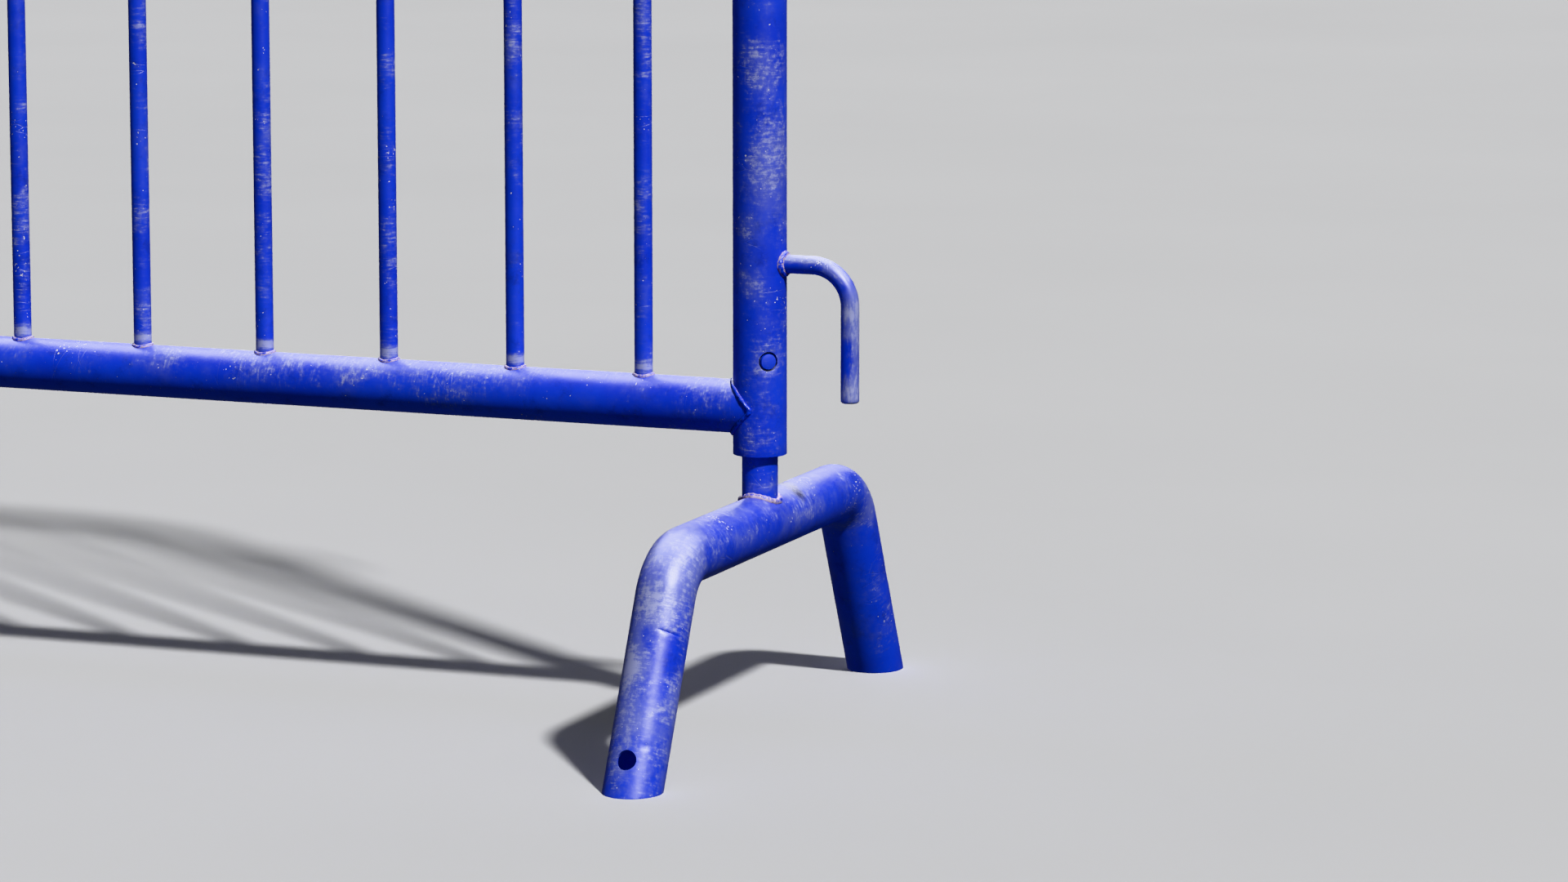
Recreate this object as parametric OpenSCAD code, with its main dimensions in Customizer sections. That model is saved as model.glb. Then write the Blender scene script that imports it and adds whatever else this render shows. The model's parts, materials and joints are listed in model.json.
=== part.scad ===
// Crowd control barrier: a bent tube frame with a bottom rail and upright infill bars,
// hooks on one post and loops on the other, and two bridge feet that plug into the
// posts and are held by snap buttons.
// +X runs along the barrier towards the hooks, -Y is the front, +Z is up.
// The origin is on the ground, at the middle of the barrier.

/* [Barrier] */
// Height from the ground to the top of the frame
overall_h = 1100; // [1050:5:1200]
// Number of upright infill bars
bar_count = 22; // [8:1:30]
// Spacing from one infill bar to the next
bar_pitch = 100; // [85:1:120]
// Distance from a post's axis to the nearest infill bar
end_pitch = 89; // [80:1:110]

/* [Frame tubes] */
// Outer diameter of the posts, the top tube and the bottom rail
tube_d = 38; // [37:0.5:40]
// Wall thickness of those tubes
tube_wall = 1.5; // [1.2:0.1:1.6]
// Centreline radius of the bends at the top corners
corner_r = 90; // [75:5:120]
// Height of the posts' open lower ends
post_bottom_z = 197; // [190:1:200]
// Height of the bottom rail's axis
rail_z = 230; // [225:1:236]
// Outer diameter of the infill bars
bar_d = 13; // [11:0.5:14]
// Wall thickness of the infill bars
bar_wall = 1.2; // [1:0.1:1.5]

/* [Hooks and loops] */
// Diameter of the solid round bar that the hooks and loops are bent from
rod_d = 13; // [11:0.5:13]
// Distance from the post's axis to the hanging end of a hook
hook_reach = 68; // [64:1:76]
// Centreline radius of a hook's bend
hook_bend_r = 28; // [24:1:32]
// Drop from a hook's level arm to its tip
hook_drop = 96; // [85:1:110]
// Height of the lower hook's level arm
lower_hook_z = 333; // [325:1:345]
// Height of the upper hook's level arm
upper_hook_z = 941; // [920:1:960]
// How far a loop sits below the arm of the hook that drops into it
loop_below_hook = 48; // [44:1:52]
// Clear width inside a loop
loop_gap = 20; // [18:0.5:22]

/* [Feet] */
// Outer diameter of the foot tube
foot_d = 41.3; // [40:0.1:43]
// Wall thickness of the foot tube
foot_wall = 2; // [1.6:0.1:2.4]
// Height of the axis of the level top of the foot
foot_axis_z = 147; // [142:1:150]
// Half the distance between the corners where the foot's straight axes meet
foot_corner_y = 163; // [150:1:180]
// Slope of the legs away from upright, in degrees
leg_splay = 25; // [20:1:30]
// Centreline radius of the two bends in the foot
foot_bend_r = 40; // [36:1:50]
// Diameter of the anchor hole low in each leg
leg_hole_d = 14; // [10:0.5:15]
// Height at which the anchor hole's axis meets the leg's outer face
leg_hole_z = 24.5; // [18:0.5:60]

/* [Spigots and sockets] */
// Outer diameter of the spigot
spigot_d = 25.4; // [24:0.1:26]
// Wall thickness of the spigot
spigot_wall = 2; // [1.6:0.1:2.2]
// Length of the spigot inside the post
spigot_depth = 133; // [110:1:150]
// Sliding clearance all round the spigot in its socket sleeve
spigot_gap = 0.3; // [0.2:0.05:0.5]

/* [Snap buttons] */
// Direction of the button, in degrees from the front towards the hooks
button_az = 41; // [0:1:45]
// Height of the button's axis
button_z = 265; // [260:1:275]
// Diameter of the button
button_d = 11; // [10:0.5:11.5]
// Diameter of the hole in the post round the button
post_hole_d = 14; // [13:0.5:15]

/* [Weld beads] */
// Leg of the bead round each end of an infill bar
bar_bead = 2.2; // [1.5:0.1:3]
// Leg of the bead where the bottom rail meets a post
rail_bead = 3; // [2:0.5:4]
// Leg of the bead round the foot of a hook or loop
rod_bead = 3.5; // [2:0.5:4]
// Leg of the bead round the foot of a spigot
spigot_bead = 4.5; // [3:0.5:5]

/* [Hidden] */
$fn = 96;
tube_r = tube_d / 2;
tube_bore_r = tube_r - tube_wall;
bar_r = bar_d / 2;
rod_r = rod_d / 2;
foot_r = foot_d / 2;
spigot_r = spigot_d / 2;
spigot_bore_r = spigot_r - spigot_wall;
button_r = button_d / 2;

// Posts, top tube and rail
post_x = (bar_count - 1) * bar_pitch / 2 + end_pitch;
top_z = overall_h - tube_r;
first_bar_x = end_pitch - post_x;
rail_ear_trim = 4;          // the coped ears of the rail stop this far from the post's axis

// Hooks and loops
hook_tip_chamfer = 1.5;
loop_bend_r = loop_gap / 2 + rod_r;
loop_reach = hook_reach - loop_bend_r;   // a loop ends as far out as a hook does
loop_ear_trim = 5;          // the loop's legs stop this far from the post's axis

// Feet
foot_tangent = foot_bend_r * tan((90 - leg_splay) / 2);
foot_bend_draw = 0.15;      // bending draws the tube down by this much
foot_bend_lap = 1.5;        // the full-size straights run this far into the bends
leg_len = foot_axis_z / cos(leg_splay);
leg_hole_along = (foot_axis_z - leg_hole_z + foot_r * sin(leg_splay)) / cos(leg_splay);

// Sockets, from the post's lower end upwards
sleeve_inset = 2;
sleeve_lip = 6;
spigot_top_z = post_bottom_z + spigot_depth;
spigot_end_gap = 0.2;
lip_z = spigot_top_z + spigot_end_gap;
lip_bore_r = spigot_r - 2.7;
sleeve_bore_r = spigot_r + spigot_gap;

// Snap button and its leaf spring, on the button's own axis
button_turn = button_az - 90;
sleeve_hole_r = button_r + 0.5;
spigot_hole_r = button_r + 0.35;
leaf_t = 0.8;
leaf_w = 9;
leaf_x = sqrt(pow(spigot_bore_r - 0.25, 2) - pow(leaf_w / 2, 2));   // outer face of the leaf
button_proud = 0.5;
button_dome_r = 24;
leaf_pad = 11;              // half length of the leaf's straight end behind the button
leaf_rise = 60;             // from the button's axis up to the fold of the leaf
leaf_fold_r = 3;

LEFT = -1;
RIGHT = 1;
steel_blue = [0.08, 0.16, 0.78];
foot_blue = [0.07, 0.15, 0.74];
bead_blue = [0.14, 0.22, 0.80];
bare_steel = [0.55, 0.56, 0.58];

function two_digits(n) = str(n < 10 ? "0" : "", n);
BARS = [for (i = [1:bar_count]) str("infill_bar_", two_digits(i))];

// ---------- shared shapes ----------

// A solid round bar of radius r and length len along +X
module bar_x(r, len) {
    rotate([0, 90, 0]) cylinder(r = r, h = len);
}

// A quarter bend in the XZ plane, from +X heading round to -Z, with its centre at the origin
module bend_down(bend_r, r, turn = 90) {
    rotate([90, 0, 0])
        rotate([0, 0, 90 - turn])
            rotate_extrude(angle = turn) translate([bend_r, 0]) circle(r = r);
}

// The fillet ring where a pipe along +Z stands on a base tube along X.
// It starts at height from, measured from the base tube's axis.
module saddle_bead(pipe_r, base_r, leg, from = 0) {
    reach = 4 * (pipe_r + leg);
    difference() {
        intersection() {
            translate([0, 0, from]) cylinder(r = pipe_r + leg, h = base_r + leg - from);
            rotate([0, 90, 0]) cylinder(r = base_r + 0.85 * leg, h = reach, center = true);
        }
        translate([0, 0, from - 1]) cylinder(r = pipe_r, h = base_r + leg - from + 2);
        rotate([0, 90, 0]) cylinder(r = base_r, h = reach + 2, center = true);
    }
}

// Everything inside the post's outer wall, for coping what is welded to it
module post_envelope(side) {
    translate([side * post_x, 0, post_bottom_z - 50])
        cylinder(r = tube_r, h = overall_h);
}

// Puts its children on the button's axis: +X points out through the button
module on_button_axis(side) {
    translate([side * post_x, 0, button_z]) rotate([0, 0, button_turn]) children();
}

// A flat strip of thickness t and width w, bent along a path in the XZ plane
function path_normal(path, i) =
    let (a = path[max(i - 1, 0)], b = path[min(i + 1, len(path) - 1)], d = b - a)
    [-d[1], d[0]] / norm(d);
module bent_strip(path, t, w) {
    last = len(path) - 1;
    rotate([90, 0, 0]) linear_extrude(height = w, center = true)
        polygon(concat(
            [for (i = [0:last]) path[i] + path_normal(path, i) * t / 2],
            [for (i = [last:-1:0]) path[i] - path_normal(path, i) * t / 2]));
}

// ---------- frame ----------

// The two corner bends, as solids of radius r
module corner_bends(r) {
    for (side = [LEFT, RIGHT])
        translate([side * (post_x - corner_r), 0, top_z - corner_r])
            rotate([0, 0, side == RIGHT ? 0 : 180]) bend_down(corner_r, r);
}

// The inverted U of both posts, the two corner bends and the top tube, as a solid of radius r
module frame_run(r, extra = 0) {
    straight = 2 * (post_x - corner_r);
    translate([-straight / 2, 0, top_z]) bar_x(r, straight);
    for (side = [LEFT, RIGHT])
        translate([side * post_x, 0, post_bottom_z - extra])
            cylinder(r = r, h = top_z - corner_r - post_bottom_z + extra);
    corner_bends(r);
}

module frame_tube() {
    color(steel_blue) difference() {
        frame_run(tube_r);
        frame_run(tube_bore_r, 1);
        for (side = [LEFT, RIGHT])
            on_button_axis(side) bar_x(post_hole_d / 2, 2 * tube_r);
    }
}

module bottom_rail() {
    len = 2 * (post_x - rail_ear_trim);
    color(steel_blue) difference() {
        translate([-len / 2, 0, rail_z]) bar_x(tube_r, len);
        translate([-len / 2 - 1, 0, rail_z]) bar_x(tube_bore_r, len + 2);
        for (side = [LEFT, RIGHT]) post_envelope(side);
    }
}

module infill_bar(i) {
    x = first_bar_x + (i - 1) * bar_pitch;
    color(steel_blue) difference() {
        translate([x, 0, rail_z]) cylinder(r = bar_r, h = top_z - rail_z);
        translate([x, 0, rail_z - 1]) cylinder(r = bar_r - bar_wall, h = top_z - rail_z + 2);
        for (z = [rail_z, top_z])
            translate([x - 2 * bar_d, 0, z]) bar_x(tube_r, 4 * bar_d);
        if (i == 1 || i == bar_count) corner_bends(tube_r);
    }
}

// ---------- hooks and loops ----------

module hook(arm_z) {
    bend_x = hook_reach - hook_bend_r;
    straight = hook_drop - hook_bend_r - hook_tip_chamfer;
    color(steel_blue) difference() {
        translate([post_x, 0, arm_z]) union() {
            bar_x(rod_r, bend_x);
            translate([bend_x, 0, -hook_bend_r]) bend_down(hook_bend_r, rod_r);
            translate([hook_reach, 0, -hook_bend_r - straight]) cylinder(r = rod_r, h = straight);
            translate([hook_reach, 0, -hook_drop])
                cylinder(r1 = rod_r - hook_tip_chamfer, r2 = rod_r, h = hook_tip_chamfer);
        }
        post_envelope(RIGHT);
    }
}
module upper_hook() { hook(upper_hook_z); }
module lower_hook() { hook(lower_hook_z); }

module loop(axis_z) {
    color(steel_blue) difference() {
        translate([-post_x, 0, axis_z]) union() {
            for (leg = [-1, 1])
                translate([-loop_reach, leg * loop_bend_r, 0])
                    bar_x(rod_r, loop_reach - loop_ear_trim);
            translate([-loop_reach, 0, 0]) rotate([0, 0, 90])
                rotate_extrude(angle = 180) translate([loop_bend_r, 0]) circle(r = rod_r);
        }
        post_envelope(LEFT);
    }
}
module upper_loop() { loop(upper_hook_z - loop_below_hook); }
module lower_loop() { loop(lower_hook_z - loop_below_hook); }

// ---------- sockets ----------

// Thick sleeve pressed into the post's lower end; the spigot's end bears on its lip
module socket_sleeve(side) {
    bottom = post_bottom_z + sleeve_inset;
    color(bare_steel) difference() {
        translate([side * post_x, 0, bottom])
            cylinder(r = tube_bore_r, h = lip_z + sleeve_lip - bottom);
        translate([side * post_x, 0, bottom - 1])
            cylinder(r = sleeve_bore_r, h = lip_z - bottom + 1);
        translate([side * post_x, 0, lip_z - 1]) cylinder(r = lip_bore_r, h = sleeve_lip + 2);
        on_button_axis(side) bar_x(sleeve_hole_r, 2 * tube_r);
    }
}
module left_socket_sleeve() { socket_sleeve(LEFT); }
module right_socket_sleeve() { socket_sleeve(RIGHT); }

// ---------- feet ----------

// One leg with its bend, as a solid of radius r, on the foot's -Y side
module leg_run(r, extra = 0) {
    start = foot_tangent - foot_bend_lap;
    translate([0, -foot_corner_y, foot_axis_z])
        rotate([180 - leg_splay, 0, 0])
            translate([0, 0, start])
                cylinder(r = r, h = leg_len - start + foot_d + extra);
    translate([0, -foot_corner_y + foot_tangent, foot_axis_z - foot_bend_r])
        rotate([0, 0, -90]) bend_down(foot_bend_r, r - foot_bend_draw, 90 - leg_splay);
}

// Both legs and the level top, as a solid of radius r
module foot_run(r, extra = 0) {
    level = foot_corner_y - foot_tangent + foot_bend_lap;
    translate([0, -level, foot_axis_z]) rotate([-90, 0, 0]) cylinder(r = r, h = 2 * level);
    leg_run(r, extra);
    mirror([0, 1, 0]) leg_run(r, extra);
}

// Drill for the anchor hole in the outer face of the -Y leg
module leg_drill() {
    translate([0, -foot_corner_y, foot_axis_z]) rotate([180 - leg_splay, 0, 0])
        translate([0, 0, leg_hole_along]) rotate([-90, 0, 0])
            cylinder(d = leg_hole_d, h = foot_d);
}

module foot_tube(side) {
    below = 4 * foot_d;
    color(foot_blue) translate([side * post_x, 0, 0]) difference() {
        foot_run(foot_r);
        foot_run(foot_r - foot_wall, 1);
        leg_drill();
        mirror([0, 1, 0]) leg_drill();
        translate([-foot_d, -2 * foot_corner_y, -below])
            cube([2 * foot_d, 4 * foot_corner_y, below]);
    }
}
module left_foot_tube() { foot_tube(LEFT); }
module right_foot_tube() { foot_tube(RIGHT); }

module foot_spigot(side) {
    color(foot_blue) difference() {
        translate([side * post_x, 0, foot_axis_z])
            cylinder(r = spigot_r, h = spigot_top_z - foot_axis_z);
        translate([side * post_x, 0, foot_axis_z - 1])
            cylinder(r = spigot_bore_r, h = spigot_top_z - foot_axis_z + 2);
        translate([side * post_x, -foot_d, foot_axis_z])
            rotate([-90, 0, 0]) cylinder(r = foot_r, h = 2 * foot_d);
        on_button_axis(side) bar_x(spigot_hole_r, 2 * tube_r);
    }
}
module left_foot_spigot() { foot_spigot(LEFT); }
module right_foot_spigot() { foot_spigot(RIGHT); }

// ---------- snap buttons ----------

module snap_button(side) {
    end_x = tube_r + button_proud;
    color(steel_blue) on_button_axis(side) intersection() {
        translate([leaf_x, 0, 0]) bar_x(button_r, end_x - leaf_x);
        translate([end_x - button_dome_r, 0, 0]) sphere(r = button_dome_r, $fn = 160);
    }
}
module left_snap_button() { snap_button(LEFT); }
module right_snap_button() { snap_button(RIGHT); }

// V-shaped leaf: a straight end behind the button, a slope up to the fold and the same again
function leaf_side(s) = [
    [s * (leaf_x - leaf_t / 2), -leaf_pad],
    [s * (leaf_x - leaf_t / 2), leaf_pad],
    [s * leaf_fold_r, leaf_rise - leaf_fold_r]];
function leaf_path() = let (a = leaf_side(1), b = leaf_side(-1)) concat(
    a,
    [for (t = [20:20:160]) [leaf_fold_r * cos(t), leaf_rise - leaf_fold_r + leaf_fold_r * sin(t)]],
    [b[2], b[1], b[0]]);

module button_spring(side) {
    color(bare_steel) on_button_axis(side) bent_strip(leaf_path(), leaf_t, leaf_w);
}
module left_button_spring() { button_spring(LEFT); }
module right_button_spring() { button_spring(RIGHT); }

// ---------- weld beads ----------

module rail_welds() {
    color(bead_blue) for (side = [LEFT, RIGHT])
        translate([side * post_x, 0, rail_z]) rotate([0, -90 * side, 0])
            saddle_bead(tube_r, tube_r, rail_bead, rail_ear_trim);
}

module bar_welds(z, turn) {
    color(bead_blue) for (i = [0:bar_count - 1])
        translate([first_bar_x + i * bar_pitch, 0, z]) rotate([turn, 0, 0])
            saddle_bead(bar_r, tube_r, bar_bead, tube_r / 2);
}
module bar_welds_bottom() { bar_welds(rail_z, 0); }
module bar_welds_top() {
    difference() {
        bar_welds(top_z, 180);
        corner_bends(tube_r);
    }
}

module hook_welds() {
    color(bead_blue) for (z = [upper_hook_z, lower_hook_z])
        translate([post_x, 0, z]) rotate([0, 90, 0])
            saddle_bead(rod_r, tube_r, rod_bead, tube_r / 2);
}

module loop_welds() {
    color(bead_blue) for (z = [upper_hook_z, lower_hook_z]) difference() {
        translate([-post_x, 0, z - loop_below_hook]) intersection() {
            for (leg = [-1, 1])
                translate([-tube_r - rod_bead, leg * loop_bend_r, 0])
                    bar_x(rod_r + rod_bead, tube_r + rod_bead - loop_ear_trim);
            cylinder(r = tube_r + rod_bead, h = 4 * rod_d, center = true);
        }
        loop(z - loop_below_hook);
        post_envelope(LEFT);
    }
}

module foot_weld(side) {
    color(bead_blue) translate([side * post_x, 0, foot_axis_z]) rotate([0, 0, 90])
        saddle_bead(spigot_r, foot_r, spigot_bead, foot_r / 2);
}
module left_foot_weld() { foot_weld(LEFT); }
module right_foot_weld() { foot_weld(RIGHT); }

// ---------- the barrier ----------

frame_tube();
bottom_rail();
for (i = [1:bar_count])
    infill_bar(i);
upper_hook();
lower_hook();
upper_loop();
lower_loop();
left_socket_sleeve();
right_socket_sleeve();
left_foot_tube();
right_foot_tube();
left_foot_spigot();
right_foot_spigot();
left_snap_button();
right_snap_button();
left_button_spring();
right_button_spring();
rail_welds();
bar_welds_bottom();
bar_welds_top();
hook_welds();
loop_welds();
left_foot_weld();
right_foot_weld();
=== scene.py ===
"""Crowd control barrier: worn blue tube frame, bars, hooks, loops, plug-in feet and snap buttons."""

import json
import math
import random

import bmesh
import bpy
import numpy as np
from bpy.props import FloatProperty, FloatVectorProperty, IntProperty, PointerProperty
from mathutils import Euler, Matrix, Vector

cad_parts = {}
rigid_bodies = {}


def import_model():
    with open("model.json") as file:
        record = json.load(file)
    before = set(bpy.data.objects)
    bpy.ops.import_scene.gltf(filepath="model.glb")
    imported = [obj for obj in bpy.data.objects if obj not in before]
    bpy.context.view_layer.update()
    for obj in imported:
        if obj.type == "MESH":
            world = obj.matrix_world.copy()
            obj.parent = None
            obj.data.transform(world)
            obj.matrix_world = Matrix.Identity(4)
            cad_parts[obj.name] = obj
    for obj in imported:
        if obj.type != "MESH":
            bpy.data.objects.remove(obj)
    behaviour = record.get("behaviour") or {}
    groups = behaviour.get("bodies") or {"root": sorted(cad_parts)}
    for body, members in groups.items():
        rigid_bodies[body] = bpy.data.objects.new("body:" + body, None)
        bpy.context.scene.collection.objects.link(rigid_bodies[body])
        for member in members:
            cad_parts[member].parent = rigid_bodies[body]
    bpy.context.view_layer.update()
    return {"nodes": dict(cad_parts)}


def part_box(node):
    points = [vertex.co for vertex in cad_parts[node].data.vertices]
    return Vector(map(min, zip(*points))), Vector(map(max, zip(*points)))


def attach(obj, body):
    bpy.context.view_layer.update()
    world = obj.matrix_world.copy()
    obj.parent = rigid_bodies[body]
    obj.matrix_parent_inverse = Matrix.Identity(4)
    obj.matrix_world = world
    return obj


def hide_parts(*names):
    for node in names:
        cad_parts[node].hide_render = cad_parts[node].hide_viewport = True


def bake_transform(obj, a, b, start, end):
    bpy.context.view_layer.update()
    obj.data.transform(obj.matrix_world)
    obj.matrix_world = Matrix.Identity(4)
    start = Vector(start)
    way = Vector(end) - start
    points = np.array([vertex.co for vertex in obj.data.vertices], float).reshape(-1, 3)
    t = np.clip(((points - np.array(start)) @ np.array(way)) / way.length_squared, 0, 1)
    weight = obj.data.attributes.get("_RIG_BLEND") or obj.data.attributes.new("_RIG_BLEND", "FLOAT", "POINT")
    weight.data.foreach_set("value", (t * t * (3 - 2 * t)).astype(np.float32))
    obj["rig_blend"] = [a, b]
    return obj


bl_info = {
    "name": "Crowd control barrier",
    "version": (1, 0, 0),
    "blender": (4, 5, 0),
    "location": "View3D > Sidebar > Barrier",
    "description": "Builds the looks of a crowd control barrier round its packed frame",
    "category": "Object",
}

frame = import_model()

X, Y, Z = Vector((1, 0, 0)), Vector((0, 1, 0)), Vector((0, 0, 1))
LEFT, RIGHT = -1, 1
ENDS = ((LEFT, "left"), (RIGHT, "right"))
TUBE_STEP = 0.008       # between the rings of points along the frame tube and the rail
ROD_STEP = 0.0025       # along the hooks and loops
FOOT_STEP = 0.002
SPIGOT_STEP = 0.004
END_BAND = 0.0005       # how near a tube's end an edge counts as its rim


# ---------- sizes and colours a user would change ----------

def length(name, description, default):
    return FloatProperty(name=name, description=description, default=default, unit="LENGTH", precision=4)


def colour(name, description, default):
    return FloatVectorProperty(
        name=name, description=description, default=default, size=3, subtype="COLOR", min=0, max=1
    )


class BarrierSizes(bpy.types.PropertyGroup):
    tube_diameter: length("Frame tube", "Outer diameter of the posts, the top tube and the rail", 0.038)
    tube_wall: length("Frame tube wall", "Wall thickness of the frame tube", 0.0015)
    corner_radius: length("Corner radius", "Centreline radius of the two top corners", 0.090)
    bar_diameter: length("Bar diameter", "Outer diameter of the upright bars", 0.013)
    bar_wall: length("Bar wall", "Wall thickness of the upright bars", 0.0012)
    rod_diameter: length("Rod diameter", "Diameter of the rod of the hooks and loops", 0.013)
    hook_reach: length("Hook reach", "Distance from the post's axis to the hanging end", 0.068)
    hook_bend_radius: length("Hook bend", "Centreline radius of the hook's bend", 0.028)
    hook_chamfer: length("Hook chamfer", "Chamfer on the hook's tip", 0.0015)
    foot_diameter: length("Foot tube", "Outer diameter of the foot tube", 0.0413)
    foot_wall: length("Foot wall", "Wall thickness of the foot tube", 0.002)
    foot_bend_radius: length("Foot bend", "Centreline radius of the foot's bends", 0.040)
    leg_splay: FloatProperty(
        name="Leg splay", description="Slope of the legs away from upright",
        default=math.radians(25), subtype="ANGLE",
    )
    leg_hole: length("Leg hole", "Diameter of the anchor hole low in each leg", 0.014)
    leg_hole_height: length("Leg hole height", "Height of the anchor hole on the leg's outer face", 0.0245)
    spigot_diameter: length("Spigot", "Outer diameter of the spigot", 0.0254)
    spigot_wall: length("Spigot wall", "Wall thickness of the spigot", 0.002)
    button_azimuth: FloatProperty(
        name="Button direction", description="Direction of the button from the front towards the hooks",
        default=math.radians(41), subtype="ANGLE",
    )
    button_diameter: length("Button", "Diameter of the snap button", 0.011)
    post_hole: length("Button hole", "Diameter of the hole in the post round the button", 0.014)
    rail_bead: length("Rail bead", "Leg of the bead where the rail meets a post", 0.003)
    bar_bead: length("Bar bead", "Leg of the bead round each end of a bar", 0.0022)
    rod_bead: length("Rod bead", "Leg of the bead round a hook", 0.0035)
    spigot_bead: length("Spigot bead", "Leg of the bead round the foot of a spigot", 0.0045)
    round_sides: IntProperty(name="Round sides", description="Sides of the thick tubes", default=64, min=16)


class BarrierColours(bpy.types.PropertyGroup):
    paint: colour("Paint", "The blue paint where it is sound", (0.010, 0.042, 0.66))
    faded: colour("Faded paint", "The blue paint where the weather has lightened it", (0.016, 0.060, 0.74))
    # Scuff and rubbed-through also paint the highlights along the rail's top, the hooks' arms and the bars'
    # feet.
    scuff_and_sheen: colour("Scuff", "Paint rubbed thin and dull", (0.18, 0.215, 0.60))
    bare_and_sheen: colour("Rubbed through", "Paint rubbed nearly through to the primer", (0.43, 0.46, 0.72))
    chip: colour("Chip", "Primer showing in chips", (0.66, 0.66, 0.76))
    weld_edge: colour("Weld edge", "Primer showing along the toes of the beads", (0.50, 0.40, 0.52))
    rust: colour("Rust", "Specks of rust in the deepest scratches", (0.20, 0.10, 0.035))
    # The grime colour is also the painted shade in the rail beads' crevices.
    grime_and_shade: colour("Grime", "Dirt in crevices and hollows", (0.006, 0.008, 0.06))
    steel: colour("Steel", "Bare steel of the sleeves and leaf springs", (0.20, 0.20, 0.21))
    floor: colour("Floor", "The floor", (0.58, 0.58, 0.585))


def sizes():
    return bpy.context.scene.barrier_sizes


def colours():
    return bpy.context.scene.barrier_colours


# ---------- where things are, read from the frame ----------

def post_axis(side):
    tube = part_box("frame_tube")
    return side * (tube[1].x - sizes().tube_diameter / 2)


def rail_height():
    low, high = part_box("bottom_rail")
    return (low.z + high.z) / 2


def top_height():
    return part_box("frame_tube")[1].z - sizes().tube_diameter / 2


def foot_axis_height():
    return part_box("right_foot_tube")[1].z - sizes().foot_diameter / 2


def button_height():
    low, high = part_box("right_snap_button")
    return (low.z + high.z) / 2


def arm_height(hook_name):
    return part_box(hook_name)[1].z - sizes().rod_diameter / 2


def button_direction():
    turn = sizes().button_azimuth
    return Vector((math.sin(turn), -math.cos(turn), 0))


def button_axis(side):
    """The place on the post's axis that the button points away from."""
    return Vector((post_axis(side), 0, button_height()))


# ---------- modelling ----------

def clear_selection():
    if bpy.context.object and bpy.context.object.mode != "OBJECT":
        bpy.ops.object.mode_set(mode="OBJECT")
    bpy.ops.object.select_all(action="DESELECT")


def edit(kind="EDGE"):
    bpy.ops.object.mode_set(mode="EDIT")
    bpy.ops.mesh.select_mode(type=kind)


def leave():
    bpy.ops.object.mode_set(mode="OBJECT")


def take(piece):
    """Makes piece the only selected object, and the active one."""
    clear_selection()
    piece.select_set(True)
    bpy.context.view_layer.objects.active = piece


def facing(direction):
    return Vector(direction).to_track_quat("Z", "Y").to_euler()


def set_down(piece):
    """Moves the object's place into its mesh."""
    take(piece)
    bpy.ops.object.transform_apply(location=True, rotation=True, scale=True)


def open_ring(name, radius, centre, direction, sides):
    """A ring of edges to extrude from, left selected in edit mode."""
    clear_selection()
    bpy.ops.mesh.primitive_circle_add(
        vertices=sides, radius=radius, location=centre, rotation=facing(direction)
    )
    piece = bpy.context.object
    piece.name = piece.data.name = name
    bpy.ops.object.transform_apply(location=True, rotation=True, scale=True)
    edit()
    bpy.ops.mesh.select_all(action="SELECT")
    return piece


def draw_out(step, count=1):
    for _ in range(count):
        bpy.ops.mesh.extrude_edges_move(TRANSFORM_OT_translate={"value": tuple(step)})


def shut_holes():
    bpy.ops.mesh.select_all(action="SELECT")
    bpy.ops.mesh.fill_holes(sides=0)


def face_outwards():
    bpy.ops.mesh.select_all(action="SELECT")
    bpy.ops.mesh.remove_doubles(threshold=1e-6)
    bpy.ops.mesh.normals_make_consistent(inside=False)


class Centreline:
    """Straight runs joined by arcs, all in one plane."""

    def __init__(self, corners, bend_radius, normal):
        self.normal = Vector(normal)
        self.parts = []
        points = [Vector(c) for c in corners]
        here = points[0]
        along = 0.0
        for i in range(1, len(points)):
            heading = (points[i] - points[i - 1]).normalized()
            if i == len(points) - 1:
                self.parts.append(("straight", here, points[i], heading, along))
                break
            onward = (points[i + 1] - points[i]).normalized()
            turn = heading.angle(onward)
            tangent = bend_radius * math.tan(turn / 2)
            stop = points[i] - heading * tangent
            if (stop - here).length > 1e-6:
                self.parts.append(("straight", here, stop, heading, along))
                along += (stop - here).length
            inward = (onward - heading * heading.dot(onward)).normalized()
            centre = stop + inward * bend_radius
            axis = heading.cross(onward).normalized()
            self.parts.append(("bend", stop, centre, heading, along, axis, turn, bend_radius))
            along += turn * bend_radius
            here = points[i] + onward * tangent

    def unbend(self, places):
        """Each place as it would be on a straight tube: two offsets across it and the way along it."""
        nearest = np.full(len(places), 1e9)
        out = np.zeros((len(places), 3))
        n = np.array(self.normal)
        last = len(self.parts) - 1
        for i, part in enumerate(self.parts):
            start, heading = np.array(part[1]), np.array(part[3])
            if part[0] == "straight":
                run = (part[2] - part[1]).length
                rel = places - start
                s = rel @ heading
                kept = np.clip(s, -1e9 if i == 0 else 0, 1e9 if i == last else run)
                gap = np.linalg.norm(rel - kept[:, None] * heading, axis=1)
                flat = rel - s[:, None] * heading
                found = np.stack([flat @ n, flat @ np.cross(heading, n), part[4] + kept], 1)
            else:
                centre, turn, radius = np.array(part[2]), part[6], part[7]
                out_0 = (start - centre) / radius
                rel = places - centre
                a = np.arctan2(rel @ heading, rel @ out_0)
                kept = np.clip(a, 0, turn)
                way = np.cos(kept)[:, None] * out_0 + np.sin(kept)[:, None] * heading
                gap = np.linalg.norm(rel - radius * way, axis=1)
                spread = np.hypot(rel @ out_0, rel @ heading) - radius
                sign = math.copysign(1, out_0 @ np.cross(heading, n))
                found = np.stack([rel @ n, spread * sign, part[4] + kept * radius], 1)
            closer = gap < nearest - 1e-9
            nearest = np.where(closer, gap, nearest)
            out[closer] = found[closer]
        return out


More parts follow.
